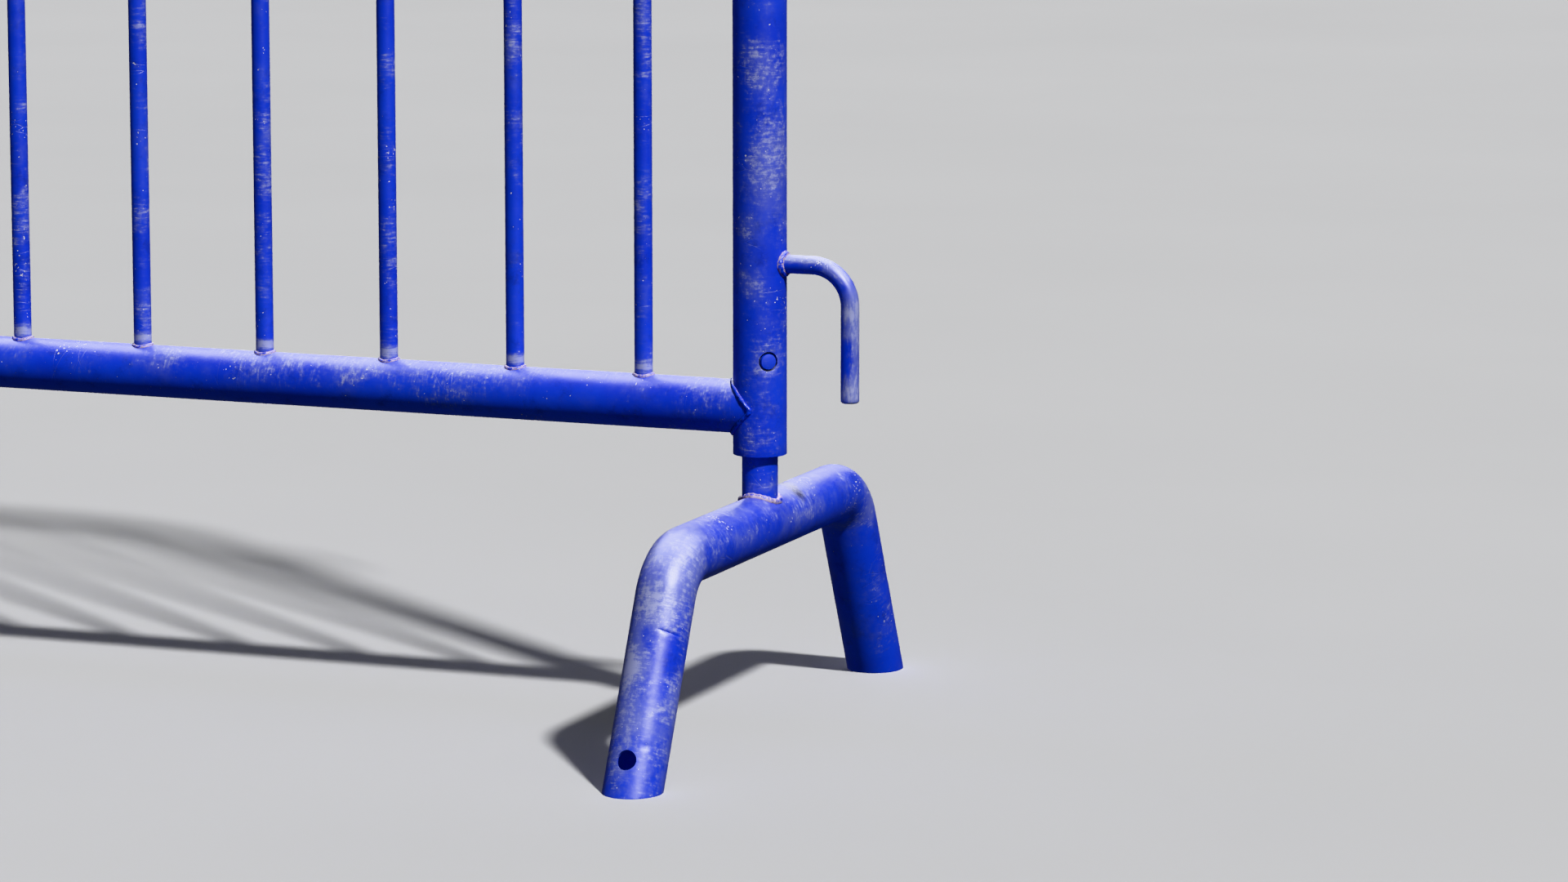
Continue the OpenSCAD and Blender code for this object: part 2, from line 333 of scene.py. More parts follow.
def bend_tube(name, line, radius, sides, spacing):
    """The skin of a tube along a centreline, drawn out ring by ring and spun round each bend."""
    first = line.parts[0]
    piece = open_ring(name, radius, first[1], first[3], sides)
    for part in line.parts:
        if part[0] == "straight":
            run = part[2] - part[1]
            count = max(1, round(run.length / spacing))
            draw_out(run / count, count)
        else:
            turn, bend_radius = part[6], part[7]
            steps = max(6, math.ceil(turn * (bend_radius + radius) / spacing))
            bpy.ops.mesh.spin(steps=steps, angle=-turn, center=part[2], axis=part[5])
    return piece


def thicken(piece, wall):
    """Gives an outer skin its wall, inwards."""
    take(piece)
    edit()
    face_outwards()
    leave()
    coat = piece.modifiers.new("wall", "SOLIDIFY")
    coat.thickness = wall
    coat.offset = -1
    bpy.ops.object.modifier_apply(modifier=coat.name)


def close_up(piece):
    """Caps a solid piece's ends and turns its faces outwards."""
    take(piece)
    edit()
    shut_holes()
    face_outwards()
    leave()


def rod_cutter(centre, direction, radius, depth, sides):
    clear_selection()
    bpy.ops.mesh.primitive_cylinder_add(
        vertices=sides, radius=radius, depth=depth, location=centre, rotation=facing(direction)
    )
    return bpy.context.object


def drill(axis, out, radius):
    """A cutter that runs from a tube's axis out through one side of its wall."""
    reach = 0.06
    return rod_cutter(axis + out * (reach / 2), out, radius, reach, 48)


def cope_cutter(centre, direction, radius, depth=0.1):
    """A cutter of the size of the tube that a piece is coped to."""
    return rod_cutter(centre, direction, radius, depth, 128)


def block_cutter(low, high):
    clear_selection()
    low, high = Vector(low), Vector(high)
    bpy.ops.mesh.primitive_cube_add(size=1, location=(low + high) / 2, scale=high - low)
    return bpy.context.object


def carve(piece, *cutters):
    """Cuts the cutters out of piece and throws them away."""
    for cutter in cutters:
        take(piece)
        cut = piece.modifiers.new("cut", "BOOLEAN")
        cut.operation = "DIFFERENCE"
        cut.solver = "EXACT"
        cut.object = cutter
        bpy.ops.object.modifier_apply(modifier=cut.name)
        bpy.data.objects.remove(cutter, do_unlink=True)


def clear_slivers(piece):
    """Melts the hair-thin faces that a cut leaves along its edge."""
    take(piece)
    edit()
    bpy.ops.mesh.select_all(action="SELECT")
    bpy.ops.mesh.remove_doubles(threshold=2e-5)
    bpy.ops.mesh.dissolve_degenerate(threshold=1e-5)
    leave()


def soften_edges(piece, picks, width, segments=2):
    """Bevels the edges whose two ends both pass picks."""
    sharp = math.radians(35)
    take(piece)
    edit()
    bpy.ops.mesh.select_all(action="DESELECT")
    mesh = bmesh.from_edit_mesh(piece.data)
    for e in mesh.edges:
        if len(e.link_faces) == 2 and e.calc_face_angle(0) > sharp:
            if picks(e.verts[0].co) and picks(e.verts[1].co):
                e.select = True
    mesh.select_flush_mode()
    bmesh.update_edit_mesh(piece.data)
    bpy.ops.mesh.bevel(offset=width, segments=segments, profile=0.5, clamp_overlap=True)
    leave()


def soften_rim(piece, axis, out, hole_radius, skin_radius):
    """Rounds the outer rim of a hole that was drilled along out, through a tube about axis."""
    width = 0.0006
    slack = 0.0002
    lowest = math.sqrt(skin_radius ** 2 - hole_radius ** 2) - width

    def on_rim(co):
        away = co - Vector(axis)
        height = away.dot(out)
        aside = (away - out * height).length
        return abs(aside - hole_radius) < slack and height > lowest

    soften_edges(piece, on_rim, width)


def smooth(piece, angle=40):
    take(piece)
    bpy.ops.object.shade_smooth_by_angle(angle=math.radians(angle))


def lathe(name, profile, sides=64, hollow=False):
    """A turned piece on +Z at the origin, each ring drawn out of the last. A hollow one joins its ends."""
    r, h = profile[0]
    piece = open_ring(name, r, (0, 0, h), Z, sides)
    for new_r, new_h in profile[1:]:
        draw_out((0, 0, new_h - h))
        bpy.ops.transform.resize(value=(new_r / r, new_r / r, 1), center_override=(0, 0, new_h))
        r, h = new_r, new_h
    if hollow:
        bpy.ops.mesh.select_all(action="DESELECT")
        bpy.ops.mesh.select_non_manifold()
        bpy.ops.mesh.bridge_edge_loops()
    else:
        shut_holes()
    face_outwards()
    leave()
    return piece


def twin(piece, name, shift=(0, 0, 0), turn=None):
    """A copy with its own mesh, shifted into place."""
    take(piece)
    bpy.ops.object.duplicate(linked=False)
    copy = bpy.context.object
    copy.name = copy.data.name = name
    if turn is not None:
        copy.matrix_world = turn @ copy.matrix_world
    copy.location = copy.location + Vector(shift)
    set_down(copy)
    return copy


def weld_together(pieces, name):
    """Joins several pieces into one."""
    clear_selection()
    for p in pieces:
        p.select_set(True)
    bpy.context.view_layer.objects.active = pieces[0]
    bpy.ops.object.join()
    joined = bpy.context.object
    joined.name = joined.data.name = name
    return joined


def places_of(piece):
    co = np.zeros(len(piece.data.vertices) * 3)
    piece.data.vertices.foreach_get("co", co)
    return co.reshape(-1, 3)


def point_values(piece, name, kind):
    """A piece's stored values, one for each point, made the first time that they are asked for."""
    attributes = piece.data.attributes
    return (attributes.get(name) or attributes.new(name, kind, "POINT")).data


def mark_unbent(piece, line, offset=(0, 0, 0)):
    """Stores where each point would be on the straight tube, which the paint's streaks follow."""
    places = places_of(piece)
    unbent = line.unbend(places) if line else places
    values = (unbent + np.array(offset)).astype(np.float32).ravel()
    point_values(piece, "unbent", "FLOAT_VECTOR").foreach_set("vector", values)


def mark_wear_and_painted_light(piece, spots, floor_level=0.0):
    """Stores how worn each point is, and where a highlight is painted lighter. A spot is (centre, half
    widths, strength).
    """
    places = places_of(piece)
    wear_and_painted_light = np.full(len(places), floor_level)
    for centre, spread, strength in spots:
        gap = (places - np.array(centre)) / np.array(spread)
        wear_and_painted_light = wear_and_painted_light + strength * np.exp(-(gap ** 2).sum(1))
    point_values(piece, "wear_and_painted_light", "FLOAT").foreach_set("value", wear_and_painted_light.astype(np.float32))


def score_rings(piece, place, along, gap):
    """Adds three close rings of points round a tube, so that a thin crease can be pressed there."""
    around = 0.06
    take(piece)
    for step in (-1, 0, 1):
        edit("FACE")
        bpy.ops.mesh.select_all(action="DESELECT")
        mesh = bmesh.from_edit_mesh(piece.data)
        for face in mesh.faces:
            face.select = (face.calc_center_median() - place).length < around
        mesh.select_flush_mode()
        bmesh.update_edit_mesh(piece.data)
        bpy.ops.mesh.bisect(plane_co=place + along * gap * step, plane_no=along)
        leave()


def press_dent(piece, places, depth, reach, falloff="SMOOTH"):
    """Pushes the skin in along depth at all the places together, with a soft edge."""
    take(piece)
    co = places_of(piece)
    nearest = {int(np.argmin(((co - np.array(place)) ** 2).sum(1))) for place in places}
    edit("VERT")
    bpy.ops.mesh.select_all(action="DESELECT")
    leave()
    for index in nearest:
        piece.data.vertices[index].select = True
    edit("VERT")
    bpy.ops.transform.translate(
        value=depth, use_proportional_edit=True, use_proportional_connected=True,
        proportional_edit_falloff=falloff, proportional_size=reach,
    )
    leave()


def finish_piece(piece, body, slot, *nodes):
    """Gives the piece the material of its slot, puts it on its body and hides the CAD nodes that it stands
    for.
    """
    piece.data.materials.clear()
    piece.data.materials.append(finish_of(slot))
    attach(piece, body)
    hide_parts(*nodes)


# ---------- materials ----------

class Bench:
    """Lays out nodes and joins them."""

    def __init__(self, name):
        self.material = bpy.data.materials.new(name)
        self.material.use_nodes = True
        self.tree = self.material.node_tree
        self.tree.nodes.clear()
        self.shader = self.add("ShaderNodeBsdfPrincipled")
        out = self.add("ShaderNodeOutputMaterial")
        self.join(self.shader.outputs["BSDF"], out.inputs["Surface"])

    def add(self, kind, **settings):
        node = self.tree.nodes.new(kind)
        for key, value in settings.items():
            setattr(node, key, value)
        return node

    def join(self, source, target):
        self.tree.links.new(source, target)

    def feed(self, socket, value):
        if isinstance(value, bpy.types.NodeSocket):
            self.join(value, socket)
        else:
            socket.default_value = value

    def unbent(self):
        return self.add("ShaderNodeAttribute", attribute_name="unbent").outputs["Vector"]

    def here(self):
        return self.add("ShaderNodeTexCoord").outputs["Object"]

    # The stored wear, which also carries painted highlights and, on the rail's beads, painted crevice shade.
    def wear_and_painted_light(self):
        return self.add("ShaderNodeAttribute", attribute_name="wear_and_painted_light").outputs["Fac"]

    def stretch(self, vector, scale, turn=(0, 0, 0)):
        node = self.add("ShaderNodeMapping")
        self.join(vector, node.inputs["Vector"])
        node.inputs["Scale"].default_value = scale
        node.inputs["Rotation"].default_value = turn
        return node.outputs["Vector"]

    def noise(self, vector, scale, detail=2.0, rough=0.5, distortion=0.0):
        node = self.add("ShaderNodeTexNoise")
        self.join(vector, node.inputs["Vector"])
        node.inputs["Scale"].default_value = scale
        node.inputs["Detail"].default_value = detail
        node.inputs["Roughness"].default_value = rough
        node.inputs["Distortion"].default_value = distortion
        return node.outputs["Fac"]

    def cells(self, vector, scale, feature="F1"):
        node = self.add("ShaderNodeTexVoronoi", feature=feature)
        self.join(vector, node.inputs["Vector"])
        node.inputs["Scale"].default_value = scale
        return node

    def maths(self, operation, a, b):
        node = self.add("ShaderNodeMath", operation=operation)
        self.feed(node.inputs[0], a)
        self.feed(node.inputs[1], b)
        return node.outputs[0]

    def times(self, a, b):
        return self.maths("MULTIPLY", a, b)

    def ramp(self, value, low, high, out_low=0.0, out_high=1.0):
        node = self.add("ShaderNodeMapRange", interpolation_type="SMOOTHSTEP")
        self.feed(node.inputs["Value"], value)
        node.inputs["From Min"].default_value = low
        node.inputs["From Max"].default_value = high
        node.inputs["To Min"].default_value = out_low
        node.inputs["To Max"].default_value = out_high
        return node.outputs["Result"]

    def blend(self, amount, a, b):
        node = self.add("ShaderNodeMix", data_type="RGBA")
        self.feed(node.inputs["Factor"], amount)
        for socket, value in ((node.inputs[6], a), (node.inputs[7], b)):
            self.feed(socket, value if isinstance(value, bpy.types.NodeSocket) else (*value, 1))
        return node.outputs[2]

    def bump(self, height, distance, strength=1.0, under=None):
        node = self.add("ShaderNodeBump")
        node.inputs["Strength"].default_value = strength
        node.inputs["Distance"].default_value = distance
        self.join(height, node.inputs["Height"])
        if under is not None:
            self.join(under, node.inputs["Normal"])
        return node.outputs["Normal"]

    def total(self, *values):
        result = values[0]
        for v in values[1:]:
            result = self.maths("ADD", result, v)
        return result


def worn_paint(
    name, patch_size, rubbed, chipped=0.0, streaky=0.6, haze=0.22, gloss=0.40, lengthwise=False
):
    """Glossy blue paint with patches rubbed in fine streaks round or along the tube, chips, dirt and painted
    highlights where the stored spots hold them.
    """
    tint = colours()
    b = Bench(name)
    place = b.unbent()
    wear_and_painted_light = b.wear_and_painted_light()

    patch = b.noise(place, 1 / patch_size, 4, 0.62, 0.4)
    cover = b.ramp(b.total(patch, b.times(wear_and_painted_light, 0.25)), 0.47 - rubbed, 0.78 - rubbed)
    lines = (480, 480, 95) if lengthwise else (95, 95, 620)
    streak = b.noise(b.stretch(place, lines), 1, 3, 0.65)
    mottle = b.noise(place, 250, 4, 0.70)
    grain = b.total(b.times(streak, streaky), b.times(mottle, 1 - streaky))
    rub = b.ramp(b.total(grain, b.times(cover, 0.24)), 0.56, 0.84)
    worst = b.times(b.maths("MAXIMUM", b.maths("SUBTRACT", wear_and_painted_light, 1.2), 0.0), 0.15)
    bare_and_sheen = b.ramp(b.total(grain, b.times(cover, 0.20), worst), 0.67, 0.88)

    knocked = b.times(b.maths("MINIMUM", wear_and_painted_light, 1.0), 0.05)
    cluster = b.ramp(b.total(b.noise(place, 24, 2), knocked), 0.56 - chipped, 0.78)
    flakes = b.total(b.noise(place, 480, 1, 0.5), b.times(cluster, 0.17))
    dots = b.cells(place, 95).outputs["Distance"]
    chips = b.maths("MAXIMUM", b.ramp(flakes, 0.775, 0.80), b.ramp(dots, 0.030, 0.050, 1.0, 0.0))

    hair = b.cells(b.stretch(place, (17, 21, 80), (0.5, 0.35, 0.2)), 1, "DISTANCE_TO_EDGE")
    thin = b.ramp(hair.outputs["Distance"], 0.003, 0.011, 1.0, 0.0)
    scratch = b.times(thin, b.ramp(b.noise(place, 24, 1), 0.56, 0.66))

    sound = b.blend(b.ramp(b.noise(place, 14, 4, 0.6), 0.35, 0.7), tint.paint, tint.faded)
    dirt = b.ramp(b.noise(place, 60, 5, 0.75), 0.50, 0.80, 0.0, 0.45)
    sound = b.blend(dirt, sound, tint.grime_and_shade)
    # The stored wear raises the haze and the rubbing; where it holds painted highlight spots, these masks
    # paint the highlights in the scuff and rubbed-through colours.
    weathered = b.total(b.noise(place, 42, 4, 0.65), b.times(wear_and_painted_light, 0.32))
    dull_and_sheen = b.ramp(weathered, 0.48, 0.92, 0.0, haze)
    sound = b.blend(dull_and_sheen, sound, tint.scuff_and_sheen)
    skin = b.blend(b.times(rub, 0.50), sound, tint.scuff_and_sheen)
    skin = b.blend(b.times(bare_and_sheen, 0.75), skin, tint.bare_and_sheen)
    skin = b.blend(b.times(scratch, 0.4), skin, tint.scuff_and_sheen)
    skin = b.blend(chips, skin, tint.chip)
    b.join(skin, b.shader.inputs["Base Color"])

    rough = b.total(
        b.times(rub, 0.12),
        b.times(chips, 0.25),
        b.times(b.noise(place, 55, 3), 0.16),
    )
    b.join(b.maths("ADD", rough, gloss - 0.08), b.shader.inputs["Roughness"])
    b.shader.inputs["Specular IOR Level"].default_value = 0.8

    peel = b.bump(b.noise(place, 260, 3, 0.6), 0.00012, 0.5)
    wavy = b.bump(b.noise(place, 45, 2), 0.0010, 0.3, peel)
    loss = b.total(
        b.times(chips, -1.0),
        b.times(scratch, -0.6),
        b.times(bare_and_sheen, -0.35),
    )
    b.join(b.bump(loss, 0.0002, 0.7, wavy), b.shader.inputs["Normal"])
    return b.material


def weld_paint(name):
    """Paint over a weld bead: lumpy, with pinkish primer along the toes, pits full of dirt and, on the
    rail's beads, painted shade darkening the toe on the rail.
    """
    tint = colours()
    b = Bench(name)
    place = b.here()
    wear_and_painted_light = b.wear_and_painted_light()
    grain = b.noise(place, 420, 3, 0.7)
    edge = b.ramp(b.total(b.times(wear_and_painted_light, 0.50), grain), 0.55, 0.80)
    # Painted shade: where the stored value is negative, the toe is darkened as if shaded in the crevice.
    crevice_shade = b.ramp(b.total(b.times(wear_and_painted_light, -1.0), grain), 0.75, 1.10)
    pits = b.ramp(b.noise(place, 620, 2, 0.6), 0.60, 0.70)
    skin = b.blend(b.noise(place, 60, 2), tint.paint, tint.faded)
    skin = b.blend(edge, skin, tint.weld_edge)
    skin = b.blend(b.maths("MAXIMUM", b.times(pits, 0.8), crevice_shade), skin, tint.grime_and_shade)
    b.join(skin, b.shader.inputs["Base Color"])
    b.join(b.ramp(edge, 0, 1, 0.34, 0.6), b.shader.inputs["Roughness"])
    lumps = b.bump(b.noise(place, 380, 3, 0.65), 0.0007, 0.7)
    b.join(b.bump(b.times(pits, -1.0), 0.0004, 0.8, lumps), b.shader.inputs["Normal"])
    return b.material


def bare_steel(name, rough):
    """Drawn steel with faint lines round it, stains and specks of rust."""
    tint = colours()
    b = Bench(name)
    place = b.here()
    b.shader.inputs["Metallic"].default_value = 1.0
    lines = b.noise(b.stretch(place, (60, 60, 1800)), 1, 2)
    stain = b.noise(place, 120, 4, 0.65)
    skin = b.blend(b.ramp(stain, 0.35, 0.75), tint.steel, [c * 0.55 for c in tint.steel])
    rusty = b.ramp(b.noise(place, 260, 4, 0.7), 0.62, 0.74)
    skin = b.blend(rusty, skin, tint.rust)
    b.join(skin, b.shader.inputs["Base Color"])
    b.join(b.ramp(b.total(stain, rusty), 0.3, 1.4, rough, rough + 0.4), b.shader.inputs["Roughness"])
    b.join(b.bump(b.total(lines, stain), 0.00012, 0.5), b.shader.inputs["Normal"])
    return b.material


def floor_finish(name):
    """Plain pale floor with the faintest mottling."""
    b = Bench(name)
    place = b.here()
    pale = colours().floor
    skin = b.blend(b.noise(place, 1.5, 4), [c * 0.97 for c in pale], [min(1, c * 1.03) for c in pale])
    b.join(skin, b.shader.inputs["Base Color"])
    b.shader.inputs["Roughness"].default_value = 0.75
    b.shader.inputs["Specular IOR Level"].default_value = 0.0
    b.join(b.bump(b.noise(place, 900, 2), 0.0003, 0.15), b.shader.inputs["Normal"])
    return b.material


def finish_of(slot):
    """The material for a slot, made the first time that it is asked for."""
    name = "worn_" + slot
    made = bpy.data.materials.get(name)
    if made:
        return made
    makers = {
        "frame_paint": lambda: worn_paint(name, 0.050, rubbed=0.02, streaky=0.38, haze=0.35),
        "bar_paint": lambda: worn_paint(name, 0.034, rubbed=0.08, chipped=0.03, haze=0.5),
        "rod_paint": lambda: worn_paint(
            name, 0.030, rubbed=0.02, chipped=-0.05, haze=0.8, gloss=0.36, lengthwise=True
        ),
        "foot_paint": lambda: worn_paint(
            name, 0.040, rubbed=0.03, chipped=-0.03, streaky=0.40, haze=0.7, gloss=0.34
        ),
        "button_paint": lambda: worn_paint(name, 0.020, rubbed=0.03),
        "weld_paint": lambda: weld_paint(name),
        "socket_steel": lambda: bare_steel(name, 0.42),
        "spring_steel": lambda: bare_steel(name, 0.28),
    }
    return makers[slot]()


# ---------- the pieces ----------

class BARRIER_OT_frame_tube(bpy.types.Operator):
    """Bend the posts and the top tube out of one length and drill the button holes"""

    bl_idname = "barrier.frame_tube"
    bl_label = "Posts and top tube"

    def execute(self, context):
        s = sizes()
        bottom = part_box("frame_tube")[0].z
        left, right, top = post_axis(LEFT), post_axis(RIGHT), top_height()
        corners = [(left, 0, bottom), (left, 0, top), (right, 0, top), (right, 0, bottom)]
        line = Centreline(corners, s.corner_radius, Y)
        tube = bend_tube("frame_tube_skin", line, s.tube_diameter / 2, s.round_sides, TUBE_STEP)
        leave()
        thicken(tube, s.tube_wall)
        soften_edges(tube, lambda co: co.z < bottom + END_BAND, 0.0004)
        for side, _ in ENDS:
            axis, out = button_axis(side), button_direction()
            carve(tube, drill(axis, out, s.post_hole / 2))
            clear_slivers(tube)
            soften_rim(tube, axis, out, s.post_hole / 2, s.tube_diameter / 2)
        smooth(tube)
        mark_unbent(tube, line)
        rims = [
            (button_axis(side) + button_direction() * s.tube_diameter / 2, (0.009, 0.009, 0.009), 0.9)
            for side, _ in ENDS
        ]
        right_spots = [
            ((right + 0.004, -0.018, 0.470), (0.012, 0.03, 0.016), 0.8),
            ((right + 0.010, -0.016, 0.408), (0.012, 0.03, 0.012), 1.1),
            ((right + 0.019, -0.004, 0.415), (0.010, 0.02, 0.022), 0.9),
            ((right + 0.010, -0.016, 0.380), (0.016, 0.03, 0.014), 1.1),
            ((right - 0.004, -0.019, 0.357), (0.014, 0.03, 0.013), 1.4),
            ((right - 0.002, -0.019, 0.320), (0.014, 0.03, 0.012), 1.3),
            ((right + 0.019, -0.003, 0.300), (0.010, 0.02, 0.020), 0.4),
        ]
        left_spots = [
            ((left + 0.006, -0.018, 0.520), (0.014, 0.03, 0.020), 0.8),
            ((left - 0.016, -0.008, 0.400), (0.014, 0.03, 0.026), 0.9),
            ((left + 0.004, 0.019, 0.640), (0.016, 0.03, 0.026), 0.8),
        ]
        bends = [
            ((side * (abs(post_axis(side)) - 0.018), 0, top + 0.004), (0.05, 0.03, 0.05), 0.55)
            for side, _ in ENDS
        ]
        top_rubs = [((x, 0, top + 0.019), (0.09, 0.016, 0.02), 0.7) for x in (-0.78, -0.31, 0.22, 0.64)]
        mark_wear_and_painted_light(tube, right_spots + left_spots + bends + top_rubs + rims)
        finish_piece(tube, "frame", "frame_paint", "frame_tube")
        return {"FINISHED"}


class BARRIER_OT_rail(bpy.types.Operator):
    """Draw the bottom rail and cope its ends to the posts"""

    bl_idname = "barrier.rail"
    bl_label = "Bottom rail"

    def execute(self, context):
        s = sizes()
        low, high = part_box("bottom_rail")
        z = rail_height()
        line = Centreline([(low.x, 0, z), (high.x, 0, z)], 0, Y)
        rail = bend_tube("bottom_rail_skin", line, s.tube_diameter / 2, s.round_sides, TUBE_STEP)
        leave()
        thicken(rail, s.tube_wall)
        for side, _ in ENDS:
            carve(rail, cope_cutter((post_axis(side), 0, z), Z, s.tube_diameter / 2))
        clear_slivers(rail)
        smooth(rail)
        mark_unbent(rail, line, (0.7, 0.2, 3.1))
        draw = random.Random(11)
        spots = []
        for name in bar_names():
            x = bar_x(name)
            spots.append(((x + draw.uniform(-0.02, 0.02), -0.014, z + 0.010),
                          (draw.uniform(0.012, 0.03), 0.02, 0.016), draw.uniform(0.2, 1.1)))
            spots.append(((x + draw.uniform(-0.03, 0.03), 0.014, z + 0.008),
                          (draw.uniform(0.012, 0.03), 0.02, 0.016), draw.uniform(0.2, 0.9)))
        spots.append(((high.x - 0.015, -0.014, z + 0.010), (0.014, 0.02, 0.02), 0.6))
        # This band along the whole top of the rail is a painted highlight of the light from above, with a
        # little rubbed paint.
        spots.append(((0, 0.004, z + s.tube_diameter / 2), (9, 0.014, 0.007), 0.6))
        mark_wear_and_painted_light(rail, spots)
        finish_piece(rail, "frame", "frame_paint", "bottom_rail")
        return {"FINISHED"}


def bar_names():
    return sorted(n for n in frame["nodes"] if n.startswith("infill_bar_"))


class BARRIER_OT_bars(bpy.types.Operator):
    """Cut one upright bar, cope it to the rail and the top tube, and copy it along the rail"""

    bl_idname = "barrier.bars"
    bl_label = "Upright bars"

    def execute(self, context):
        s = sizes()
        names = bar_names()
        z0, z1 = rail_height(), top_height()
        r = s.tube_diameter / 2
        first = bar_x(names[0])
        lap = 0.003
        floor_ring = z0 + r - lap
        piece = open_ring("infill_bar_skin", s.bar_diameter / 2, (first, 0, floor_ring), Z, 32)
        short, close_rings, far_rings = 0.0025, 6, 60
        draw_out((0, 0, short), close_rings)
        middle = (z1 - r + lap) - floor_ring - 2 * close_rings * short
        draw_out((0, 0, middle / far_rings), far_rings)
        draw_out((0, 0, short), close_rings)
        leave()
        thicken(piece, s.bar_wall)
        for z in (z0, z1):
            carve(piece, cope_cutter((first, 0, z), X, r))
        clear_slivers(piece)
        smooth(piece)
        draw = random.Random(5)
        for name in names:
            x = bar_x(name)
            bar = twin(piece, name + "_skin", (x - first, 0, 0))
            mark_unbent(bar, None, (draw.uniform(-9, 9), draw.uniform(-9, 9), draw.uniform(-9, 9)))
            # The strong spot just above the rail paints a ring of highlight round each bar's foot; the spot
            # below the top tube is wear.
            spots = [((x, 0, z0 + r + 0.006), (0.02, 0.02, 0.0035), 3.0),
                     ((x, 0, z1 - r - 0.008), (0.02, 0.02, 0.004), 0.55)]
            for _ in range(5):
                spots.append(((x + draw.uniform(-0.006, 0.006), draw.choice((-0.006, 0.006)),
                               draw.uniform(z0 + 0.03, z1 - 0.05)),
                              (0.008, 0.008, draw.uniform(0.012, 0.03)), draw.uniform(0.5, 1.0)))
            mark_wear_and_painted_light(bar, spots)
            finish_piece(bar, "frame", "bar_paint", name)
        bpy.data.objects.remove(piece, do_unlink=True)
        return {"FINISHED"}


def bar_x(name):
    low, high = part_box(name)
    return (low.x + high.x) / 2


def finish_pair(rod, line, lower, upper, shift, offset, spots):
    """Finishes a rod as the lower piece of a pair, and a copy of it shifted up as the upper one."""
    for name, up in ((lower, 0), (upper, shift)):
        piece = rod if up == 0 else twin(rod, name + "_skin")
        mark_unbent(piece, line, (offset[0], offset[1] + up, up))
        mark_wear_and_painted_light(piece, spots)
        if up:
            piece.location = (0, 0, up)
            set_down(piece)
        finish_piece(piece, "frame", "rod_paint", name)


class BARRIER_OT_hooks(bpy.types.Operator):
    """Bend the hooks from round rod, chamfer their tips and cope them to the right post"""

    bl_idname = "barrier.hooks"
    bl_label = "Hooks"

    def execute(self, context):
        s = sizes()
        r = s.rod_diameter / 2
        post = post_axis(RIGHT)
        tip_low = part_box("lower_hook")[0].z
        arm = arm_height("lower_hook")
        reach = post + s.hook_reach
        corners = [(post + 0.008, 0, arm), (reach, 0, arm), (reach, 0, tip_low + s.hook_chamfer)]
        line = Centreline(corners, s.hook_bend_radius, Y)
        hook = bend_tube("lower_hook_skin", line, r, 40, ROD_STEP)
        draw_out((0, 0, -s.hook_chamfer * 0.45))
        bpy.ops.transform.resize(value=(0.965, 0.965, 1), center_override=(reach, 0, tip_low))
        draw_out((0, 0, -s.hook_chamfer * 0.55))
        bpy.ops.transform.resize(value=(0.86, 0.86, 1), center_override=(reach, 0, tip_low))
        leave()
        close_up(hook)
        carve(hook, cope_cutter((post, 0, arm), Z, s.tube_diameter / 2, 0.08))
        clear_slivers(hook)
        smooth(hook)
        # The first spot is a painted highlight along the top of the arm, with some rubbed paint; the others
        # are rubs.
        rubs = [
            ((post + 0.036, -0.002, arm + 0.0055), (0.030, 0.006, 0.0035), 3.4),
            ((reach - 0.008, -0.002, arm - 0.002), (0.012, 0.008, 0.009), 1.3),
            ((reach + 0.006, -0.002, arm - 0.050), (0.003, 0.008, 0.045), 1.2),
            ((reach, -0.005, arm - 0.031), (0.010, 0.012, 0.009), 1.9),
            ((reach, -0.005, arm - 0.047), (0.010, 0.012, 0.005), 1.1),
            ((reach, -0.005, arm - 0.089), (0.010, 0.012, 0.010), 2.0),
        ]
        rise = arm_height("upper_hook") - arm
        finish_pair(hook, line, "lower_hook", "upper_hook", rise, (0.3, 0.1), rubs)
        return {"FINISHED"}


class BARRIER_OT_loops(bpy.types.Operator):
    """Bend the loops from round rod and cope them to the left post"""

    bl_idname = "barrier.loops"
    bl_label = "Loops"

    def execute(self, context):
        s = sizes()
        r = s.rod_diameter / 2
        post = post_axis(LEFT)
        low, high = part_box("lower_loop")
        z = (low.z + high.z) / 2
        half = high.y - r
        out = low.x + r
        corners = [(high.x, -half, z), (out, -half, z), (out, half, z), (high.x, half, z)]
        line = Centreline(corners, half - 1e-5, Z)
        loop = bend_tube("lower_loop_skin", line, r, 40, ROD_STEP)
        leave()
        close_up(loop)
        carve(loop, cope_cutter((post, 0, z), Z, s.tube_diameter / 2, 0.08))
        smooth(loop)
        other = (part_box("upper_loop")[0].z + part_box("upper_loop")[1].z) / 2
        rubs = [
            ((out - 0.004, 0, z), (0.008, 0.016, 0.012), 1.1),
            ((out + 0.02, 0, z + 0.007), (0.02, 0.03, 0.004), 0.6),
        ]
        finish_pair(loop, line, "lower_loop", "upper_loop", other - z, (1.3, 0.4), rubs)
        return {"FINISHED"}


